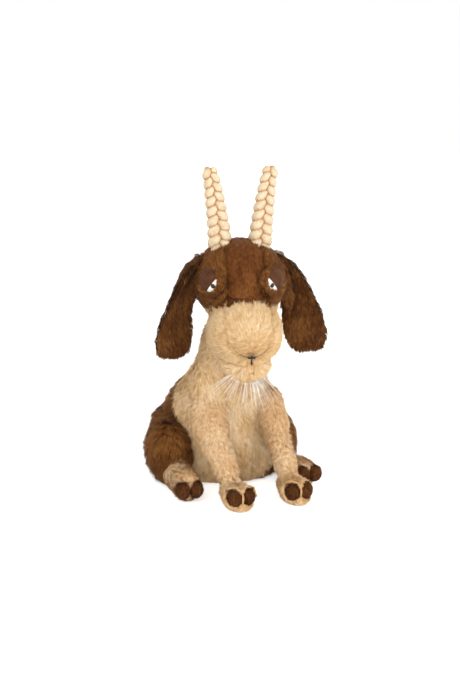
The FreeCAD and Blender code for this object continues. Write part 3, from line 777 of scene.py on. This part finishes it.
def gussetDistance(points):
    p = toHeadFrame(points)
    brown = ~isCreamFace(points)
    edge = np.abs(np.abs(p[:, 0]) - np.where(brown, 17.5 * mm, 20.5 * mm))
    low = p[:, 2] < 161.5 * mm
    bend = np.abs(np.hypot(p[:, 0], p[:, 2] - 161.5 * mm) - 20.5 * mm)
    edge = np.where(low & ~brown, bend, edge)
    return np.where(p[:, 1] < -20 * mm, edge, 1.0)


def mouthDistance(points):
    p = toHeadFrame(points)
    line = 132.5 * mm + 0.10 * p[:, 0] ** 2 / (20 * mm)
    return np.where((np.abs(p[:, 0]) < 25 * mm) & (p[:, 1] < -55 * mm), np.abs(p[:, 2] - line), 1.0)


pullSeam(head, gussetDistance, 2.2, 2.2)
pullSeam(head, mouthDistance, 3.6, 2.8)
colourFaces(head, isCreamFace)
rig.ride(head, "head")
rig.replaces(head, *headNodes)
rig.slot(head, "brown_plush")
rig.padded(head, fill=0.9)


def shortFace(root):
    p = toHeadFrame(root)
    seam = np.minimum(gussetDistance(root), mouthDistance(root))
    cream = isCreamFace(root)
    edge = np.clip(np.abs(p[:, 2] - creamTop(p)) / (7 * mm), 0, 1)
    size = 0.55 + 0.45 * np.clip(seam / (3.5 * mm), 0, 1)
    size *= np.where(cream, 1.3 - 0.3 * edge, 0.85 + 0.1 * edge)
    lip = (np.abs(p[:, 0]) < 2.6 * mm) & (p[:, 1] < -60 * mm) & (p[:, 2] > 125 * mm) & (p[:, 2] < 144 * mm)
    return np.where(lip, size * 0.15, size)


def faceToneAndSeamShade(root):
    # painted shade darkens the pile along the seams and the mouth line, and a peachy patch lies low on the nose
    p = toHeadFrame(root)
    seam = np.minimum(gussetDistance(root), mouthDistance(root))
    tone = -0.34 * np.exp(-(seam / (1.7 * mm)) ** 2)
    tone -= 0.3 * np.exp(-(mouthDistance(root) / (1.5 * mm)) ** 2)
    nose = np.exp(-((p[:, 0] / (14 * mm)) ** 2 + ((p[:, 2] - 152 * mm) / (12 * mm)) ** 2))
    return tone - 0.16 * nose * isCreamFace(root)


def onCrown(points):
    p = toHeadFrame(points)
    return (np.abs(p[:, 0]) < 17.5 * mm) & (p[:, 1] < 10 * mm)


for name, material, test, seed, size in (
    ("crownPile", crownPile, lambda p: ~isCreamFace(p) & onCrown(p), 71, 5.5),
    ("headSidePile", brownPile, lambda p: ~isCreamFace(p) & ~onCrown(p), 72, 7.0),
    ("muzzlePile", creamPile, isCreamFace, 73, 6.5),
):
    pile = growPile(
        name, head, material, faceLay, keep=lambda p, rng: test(p), length=size, perMm2=3.6, curl=0.2,
        shortAt=shortFace, tone=faceToneAndSeamShade, seed=seed,
    )
    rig.ride(pile, "head")
    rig.slot(pile, "cream_long_plush" if name == "muzzlePile" else "brown_plush")

# the ear's inner edge lies close along the side of the head
earSwells = {
    "right": ((-48, -11, 196), (11, 6, 36), (0, 12)), "left": ((47, -33, 200), (8, 5, 30), (0, -12)),
}
earShoulder = 205 * mm
for number, word in enumerate(("right", "left")):
    ear = stuffedSkin("earSkin_" + word, ["ear_" + word], 1.8, 2.0, 3, [earSwells[word]])
    points, _ = meshArrays(ear.data)
    points[:, 2] -= 0.26 * np.maximum(points[:, 2] - earShoulder, 0)
    setPoints(ear.data, points)
    ear.data.materials.append(brownBacking)
    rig.ride(ear, "ear_" + word)
    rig.replaces(ear, "ear_" + word)
    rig.slot(ear, "dark_brown_plush")
    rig.padded(ear, fill=0.3)
    pile = growPile(
        "earPile_" + word, ear, earPile, downward, length=6.2, perMm2=3.6, lift=0.3, seed=81 + number,
    )
    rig.ride(pile, "ear_" + word)
    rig.slot(pile, "dark_brown_plush")
say("head done")

# ---- fillings: what the covers hold, drawn in so that no cover touches them ----
fibreFill = backingMaterial("white polyester fibre filling", "#f2efe8", "#dcd8cf")
for name, node, body, inset, slot in (
    ("torsoFilling", "torso_stuffing", "trunk", 9.5, "polyester_filling"),
    ("headFilling", "head_stuffing", "head", 8.0, "polyester_filling"),
    ("muzzleFilling", "muzzle_stuffing", "head", 9.5, "polyester_filling"),
):
    filling = stuffedSkin(name, [node], 3.0, inset, 2)
    if body == "trunk":
        slimFarSide(filling)
    filling.data.materials.append(fibreFill)
    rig.ride(filling, body)
    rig.replaces(filling, node)
    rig.slot(filling, slot)
    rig.padded(filling, fill=0.6)

bagCotton = backingMaterial("plain white cotton", "#eee9dc", "#d8d2c2")
nodes["pellet_bag"].data.materials.clear()
nodes["pellet_bag"].data.materials.append(bagCotton)


# ---- horns: three soft tubes plaited, fat where they bend and pinched where they cross ----
hornSizes = {
    "foot": (19.7, -25.0, 235.7), "tall": 80, "lean": 10.5, "sway": 6.5, "weave": 4.2, "fat": 5.9, "thin": 4.1,
    "turns": 2.85,
}


def suedetteMaterial(name, low, middle, high, crease):
    # brushed microfibre suede: a matt nap with soft paler patches, and painted shade in the creases where the strands
    # press together
    material, tree = newMaterial(name)
    place = addNode(tree, "ShaderNodeTexCoord")
    nap = addNode(tree, "ShaderNodeTexNoise", None, Vector=(place, "Object"), Scale=2600.0, Detail=3.0)
    patch = addNode(
        tree, "ShaderNodeTexNoise", None, Vector=(place, "Object"), Scale=170.0, Detail=4.0, Roughness=0.6,
    )
    tone = addNode(tree, "ShaderNodeValToRGB", None, [(0.3, low), (0.5, middle), (0.72, high)], Fac=(patch, 0))
    creaseShadeAttribute = addNode(tree, "ShaderNodeAttribute", {"attribute_name": "crease"})
    creaseShadeAmount = addNode(tree, "ShaderNodeValToRGB", None, [(0.0, 0.0), (0.45, 0.35), (1.0, 1.0)], Fac=(creaseShadeAttribute, 2))
    mix = addNode(tree, "ShaderNodeMix", {"data_type": "RGBA"}, i0=(creaseShadeAmount, 0), i6=(tone, 0), i7=hexToLinear(crease))
    bump = addNode(tree, "ShaderNodeBump", None, Strength=0.35, Distance=0.0002, Height=(nap, 0))
    cloth = addNode(
        tree, "ShaderNodeBsdfPrincipled", None, Base_Color=(mix, 2), Roughness=0.85, Normal=(bump, 0),
    )
    cloth.inputs["Specular IOR Level"].default_value = 0.2
    cloth.inputs["Sheen Weight"].default_value = 0.05
    finishMaterial(tree, cloth)
    return material


def plaitPath(side, strand, steps):
    # the strand's middle line in the head's own frame, and its radius, along the horn
    z = hornSizes
    f = np.linspace(0, 1, steps)
    phase = 2 * math.pi * (z["turns"] * f + strand / 3)
    slim = 1 - 0.36 * f ** 1.3
    close = (1 - 0.6 * np.clip((f - 0.92) / 0.08, 0, 1) ** 2) * np.minimum(1, 0.8 + f / 0.1)
    x = -z["lean"] * f ** 1.4 - z["sway"] * slim * close * np.sin(phase)
    path = np.stack([
        -side * (x - z["foot"][0]),
        z["foot"][1] + z["weave"] * slim * close * np.sin(2 * phase),
        z["foot"][2] + z["tall"] * (f + 0.06 * f * (1 - f)),
    ], axis=1) * mm
    radius = (z["thin"] + (z["fat"] - z["thin"]) * np.sin(phase) ** 2) * slim * mm
    radius[-3:] *= np.array([0.97, 0.85, 0.45])
    return fromHeadFrame(path), radius


hornSuede = suedetteMaterial("cream microfibre suedette", "#c3ad8b", "#cfbea2", "#dacbb3", "#b5824d")
for side, word in ((-1, "right"), (1, "left")):
    paths = [plaitPath(side, strand, 150) for strand in range(3)]
    for strand in range(3):
        mesh = tubeMesh([paths[strand]])
        piece = linkPiece("hornStrand_%s_%d" % (word, strand + 1), mesh)
        points, _ = meshArrays(mesh)
        gap = np.full(len(points), 1.0)
        for other in range(3):
            if other != strand:
                path, radius = paths[other]
                far = np.linalg.norm(points[:, None] - path[None], axis=2) - radius[None]
                gap = np.minimum(gap, far.min(axis=1))
        # painted shade: the suede darkens where this strand lies within 1.5 mm of another
        crease = mesh.attributes.new("crease", "FLOAT", "POINT")
        crease.data.foreach_set("value", np.clip(1 - gap / (1.5 * mm), 0, 1).astype(np.float32))
        mesh.polygons.foreach_set("use_smooth", [True] * len(mesh.polygons))
        mesh.materials.append(hornSuede)
        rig.ride(piece, "head")
        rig.replaces(piece, "horn_%s_strand_%d" % (word, strand + 1))
        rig.slot(piece, "cream_suedette")
        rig.padded(piece, fill=0.9)
say("horns done")


# ---- eyes ----
def glossMaterial(name, colour, rough):
    # moulded plastic with a smooth coat
    material, tree = newMaterial(name)
    place = addNode(tree, "ShaderNodeTexCoord")
    drift = addNode(tree, "ShaderNodeTexNoise", None, Vector=(place, "Object"), Scale=220.0, Detail=2.0)
    shine = addNode(tree, "ShaderNodeValToRGB", None, [(0.3, rough), (0.7, rough + 0.06)], Fac=(drift, 0))
    body = addNode(tree, "ShaderNodeBsdfPrincipled", None, Base_Color=hexToLinear(colour), Roughness=(shine, 0))
    finishMaterial(tree, body)
    return material


eyePlastic = glossMaterial("white moulded plastic", "#f1ece4", 0.28)
beadGloss = glossMaterial("black glossy bead", "#0b0a0a", 0.07)
lidSuede = suedetteMaterial("brown microfibre suedette", "#3a200f", "#4b2b16", "#5d3a20", "#28150a")
eyeSizes = {"turn": 41, "shift": 6, "height": 209.5, "tilt": 50}
rimRoll = {"turn": 108, "radius": 13.2, "thick": 2.5, "out": 0.4}


def eyeFrame(side):
    # middle of the eye on the head form, its outward line and its up line along the lid's tilt
    z = eyeSizes
    turn = math.radians(z["turn"] - side * z["shift"])
    (cx, cy, cz), (rx, ry, rz) = headForms["head"]
    out = math.sqrt(1 - ((z["height"] - cz) / rz) ** 2)
    middle = np.array([side * rx * out * math.sin(turn), cy - ry * out * math.cos(turn), z["height"]]) * mm
    aim = unit(np.array([side * math.sin(turn), -math.cos(turn), 0.06]))
    across = unit(np.cross([0, 0, 1.0], aim))
    up = np.cross(aim, across)
    lean = math.radians(-side * z["tilt"])
    return middle, aim, -across * math.sin(lean) + up * math.cos(lean)


for side, word in ((-1, "right"), (1, "left")):
    middle, aim, high = eyeFrame(side)

    # the plush rolls up round the lower edge of the eye
    across = np.cross(high, aim)
    turn = np.radians(np.linspace(-1, 1, 33) * rimRoll["turn"])[:, None]
    ring = (across * np.sin(turn) - high * np.cos(turn)) * rimRoll["radius"] * mm
    ring += aim * rimRoll["out"] * mm
    thick = rimRoll["thick"] * mm * (0.4 + 0.6 * np.cos(turn[:, 0] * 90 / rimRoll["turn"]).clip(0, 1) ** 0.5)
    mesh = tubeMesh([(fromHeadFrame(middle + ring), thick)])
    mesh.materials.append(brownBacking)
    rim = linkPiece("eyeRim_" + word, mesh)
    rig.ride(rim, "head")
    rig.slot(rim, "brown_plush")
    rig.padded(rim, fill=0.9)
    pile = growPile(
        "eyeRimPile_" + word, rim, brownPile, faceLay, length=4.6, perMm2=5.0, lift=0.3, curl=0.15, seed=75,
    )
    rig.ride(pile, "head")
    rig.slot(pile, "brown_plush")

for word in ("right", "left"):
    for node, material in (("eye_white_" + word, eyePlastic), ("pupil_" + word, beadGloss)):
        nodes[node].data.materials.clear()
        nodes[node].data.materials.append(material)
    lid = stuffedSkin("lidSkin_" + word, ["eyelid_" + word], 0.45, 0.0, 3)
    lid.data.materials.append(lidSuede)
    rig.ride(lid, "head")
    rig.replaces(lid, "eyelid_" + word)
    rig.slot(lid, "brown_suedette")
    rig.padded(lid, fill=0.8)


# ---- nose and lip stitching: satin stitches of doubled yarn ----
def yarnMaterial(name, colour):
    # mercerised cotton: a fine twist catches thin bright lines
    material, tree = newMaterial(name)
    place = addNode(tree, "ShaderNodeTexCoord")
    twist = addNode(
        tree, "ShaderNodeTexWave", {"bands_direction": "DIAGONAL"}, Vector=(place, "Object"), Scale=900.0,
        Distortion=1.0,
    )
    bump = addNode(tree, "ShaderNodeBump", None, Strength=0.5, Distance=0.0002, Height=(twist, 1))
    yarn = addNode(
        tree, "ShaderNodeBsdfPrincipled", None, Base_Color=hexToLinear(colour), Roughness=0.5, Normal=(bump, 0),
    )
    finishMaterial(tree, yarn)
    return material


blackYarn = yarnMaterial("black cotton yarn", "#15100d")
stitch = stuffedSkin("nose_stitchYarn", ["nose_stitch"], 0.35, -0.25, 2)
stitch.data.materials.append(blackYarn)
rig.ride(stitch, "head")
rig.replaces(stitch, "nose_stitch")
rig.slot(stitch, "black_thread")
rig.padded(stitch, fill=0.9)

# a dark thread along the lower edge of the nose gusset, which also stands in for the painted shade in that seam
def frontOf(form, x, z):
    (cx, cy, cz), (rx, ry, rz) = headForms[form]
    return cy - ry * np.sqrt(np.clip(1 - (x / rx) ** 2 - ((z - cz) / rz) ** 2, 0, 1))


noseSeam = {"radius": 20.5, "middle": 161.5, "from": -60, "to": 64, "thick": 0.62}
f = np.linspace(0, 1, 25)
turn = np.radians(noseSeam["from"] + (noseSeam["to"] - noseSeam["from"]) * f)
x, z = noseSeam["radius"] * np.sin(turn), noseSeam["middle"] - noseSeam["radius"] * np.cos(turn)
seamPath = np.stack([x, frontOf("muzzle", x, z) + 0.9, z], axis=1) * mm
seamRadius = noseSeam["thick"] / 2 * mm * (0.35 + 0.65 * np.sin(math.pi * f))
mesh = tubeMesh([(fromHeadFrame(seamPath), seamRadius)], 1)
mesh.materials.append(blackYarn)
# two strands of the same yarn run from the nose down to the lips
lipStitch = {"top": 143.5, "bottom": 133.5, "thick": 0.8, "apart": 0.25, "proud": 1.2}
f = np.linspace(0, 1, 9)
z = lipStitch["top"] + (lipStitch["bottom"] - lipStitch["top"]) * f
front = np.minimum(frontOf("muzzle", 0 * z, z), frontOf("chin", 0 * z, z)) - lipStitch["proud"]
strands = []
for side in (-1, 1):
    path = np.stack([side * lipStitch["apart"] * (1 + 0.6 * f), front, z], axis=1) * mm
    strands.append((fromHeadFrame(path), np.full(9, lipStitch["thick"] / 2 * mm)))
lipMesh = tubeMesh(strands, 2)
lipMesh.materials.append(blackYarn)
lip = linkPiece("lipStitchYarn", lipMesh)
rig.ride(lip, "head")
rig.replaces(lip, "lip_stitch")
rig.slot(lip, "black_thread")
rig.padded(lip, fill=0.9)
seamThreadAndShade = linkPiece("noseSeamThreadAndShade", mesh)
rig.ride(seamThreadAndShade, "head")
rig.slot(seamThreadAndShade, "black_thread")

# ---- beard: soft fluff and a few long straight whiskers set under the chin ----
# the last triple is painted shade at the roots of the white fibres
beardPile = pileMaterial(
    "white straight hair fibre", [(0.0, "#f4ece0"), (0.5, "#fcf8f2"), (1.0, "#ffffff")], (0.9, 0.98, 1.0),
)
whiskers = {"number": 60, "length": 31, "thick": 0.28, "spread": 72, "reach": 18.2}


def beardLay(root, out):
    p = toHeadFrame(root)
    way = np.stack([p[:, 0] * 22, np.full(len(p), -0.45), np.full(len(p), -1.0)], axis=1)
    return turnFromHead(unit(way))


def underChin(points, rng):
    p = toHeadFrame(points)
    ring = (p[:, 2] < 120 * mm) & (p[:, 2] > 112 * mm) & (p[:, 1] < -60 * mm) & (np.abs(p[:, 0]) < 20 * mm)
    return (formValue(p, "chin") < 1.02) & ring & (p[:, 0] > 5 * mm)


beard = growPile(
    "beardFluff", head, beardPile, beardLay, keep=underChin, length=9, perMm2=1.5, width=0.3, lift=0.6, clump=0.2,
    curl=0.3, seed=91, facing=(0.0, -1.2, 0.3),
)
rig.ride(beard, "head")
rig.replaces(beard, "beard")
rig.slot(beard, "white_fibre")

# each whisker is a thin tapering thread that fans out from the edge of the chin
rng = np.random.default_rng(17)
hairs = []
f = np.linspace(0, 1, 6)
for k in range(whiskers["number"]):
    turn = math.radians(rng.uniform(-1, 1) * whiskers["spread"])
    size = whiskers["length"] * rng.uniform(0.55, 1.05)
    low = math.cos(turn)
    start = np.array([math.sin(turn) * whiskers["reach"], -70 - 10 * low * rng.uniform(0.5, 1), 126 - 12 * low])
    run = unit(np.array([math.sin(turn) * 0.9, -0.30 + rng.normal() * 0.1, -low]))
    path = start + run * size * f[:, None] + np.array([0, 3.0, -2.5]) * f[:, None] ** 2
    hairs.append((fromHeadFrame(path * mm), whiskers["thick"] / 2 * mm * (1 - 0.8 * f)))
mesh = tubeMesh(hairs, 0)
uv = mesh.uv_layers.get("OFBake") or mesh.uv_layers.new(name="OFBake")
uv.data.foreach_set("uv", np.tile([0.95, 0.9], len(mesh.loops)))
mesh.materials.append(beardPile)
whiskerPiece = linkPiece("beardWhiskers", mesh)
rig.ride(whiskerPiece, "head")
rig.slot(whiskerPiece, "white_fibre")
say("face done")

# ---- floor, light and camera ----
studio = {"sky": 0.92, "key": 14.0, "fill": 13.0, "rim": 4.0}
view = {
    "side": -20.0, "up": 12.0, "away": 1.5, "target": (0.0, -0.010, 0.150), "lens": 78.26,
    "shift": (-0.0029, -0.01884),
}

floorMaterial, tree = newMaterial("white studio board")
rays = addNode(tree, "ShaderNodeLightPath")
board = addNode(tree, "ShaderNodeBsdfDiffuse", None, Color=hexToLinear("#ffffff"))
lit = addNode(tree, "ShaderNodeEmission", None, Color=hexToLinear("#ffffff"), Strength=0.55)
seen = addNode(tree, "ShaderNodeAddShader", None, i0=(board, 0), i1=(lit, 0))
mix = addNode(tree, "ShaderNodeMixShader", None, i0=(rays, "Is Camera Ray"), i1=(board, 0), i2=(seen, 0))
finishMaterial(tree, mix)
shell = bmesh.new()
bmesh.ops.create_grid(shell, x_segments=1, y_segments=1, size=3.0)
floorMesh = bpy.data.meshes.new("floor")
shell.to_mesh(floorMesh)
shell.free()
floorMesh.materials.append(floorMaterial)
floor = linkPiece("floor", floorMesh)
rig.stage(floor)

world = bpy.data.worlds.new("studio")
scene.world = world
world.use_nodes = True
tree = world.node_tree
tree.nodes.clear()
rays = addNode(tree, "ShaderNodeLightPath")
larger = {"operation": "MAXIMUM", "use_clamp": True}
white = addNode(tree, "ShaderNodeMath", larger, i0=(rays, "Is Camera Ray"), i1=(rays, "Is Transmission Ray"))
both = addNode(tree, "ShaderNodeMath", larger, i0=(white, 0), i1=(rays, "Is Glossy Ray"))
dim = addNode(tree, "ShaderNodeBackground", None, Color=hexToLinear("#fffaf3"), Strength=studio["sky"])
bright = addNode(tree, "ShaderNodeBackground", None, Color=hexToLinear("#ffffff"), Strength=1.0)
mix = addNode(tree, "ShaderNodeMixShader", None, i0=(both, 0), i1=(dim, 0), i2=(bright, 0))
addNode(tree, "ShaderNodeOutputWorld", None, Surface=(mix, 0))

for name, power, size, spot in (
    ("key", studio["key"], 0.9, (-0.75, -1.5, 0.85)),
    ("fill", studio["fill"], 1.2, (0.9, -1.4, 0.35)),
    ("rim", studio["rim"], 0.8, (0.4, 1.2, 1.2)),
):
    lamp = bpy.data.lights.new(name, "AREA")
    lamp.energy = power
    lamp.size = size
    lampObject = bpy.data.objects.new(name, lamp)
    scene.collection.objects.link(lampObject)
    aim = Vector((0, -0.02, 0.14)) - Vector(spot)
    lampObject.matrix_world = Matrix.Translation(spot) @ aim.to_track_quat("-Z", "Y").to_matrix().to_4x4()

a, e = math.radians(view["side"]), math.radians(view["up"])
back = Vector((math.sin(a) * math.cos(e), -math.cos(a) * math.cos(e), math.sin(e)))
lens = bpy.data.cameras.new("camera")
lens.lens = view["lens"]
lens.shift_x, lens.shift_y = view["shift"]
camera = bpy.data.objects.new("camera", lens)
scene.collection.objects.link(camera)
stand = Matrix.Translation(Vector(view["target"]) + back * view["away"])
camera.matrix_world = stand @ back.to_track_quat("Z", "Y").to_matrix().to_4x4()
scene.camera = camera
scene.view_settings.view_transform = "Standard"

with open("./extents.json", "w") as out:
    json.dump({"cad": [list(v) for v in cadBox], "visual": [list(v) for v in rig.bounds()]}, out)
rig.finish()
say("finished")
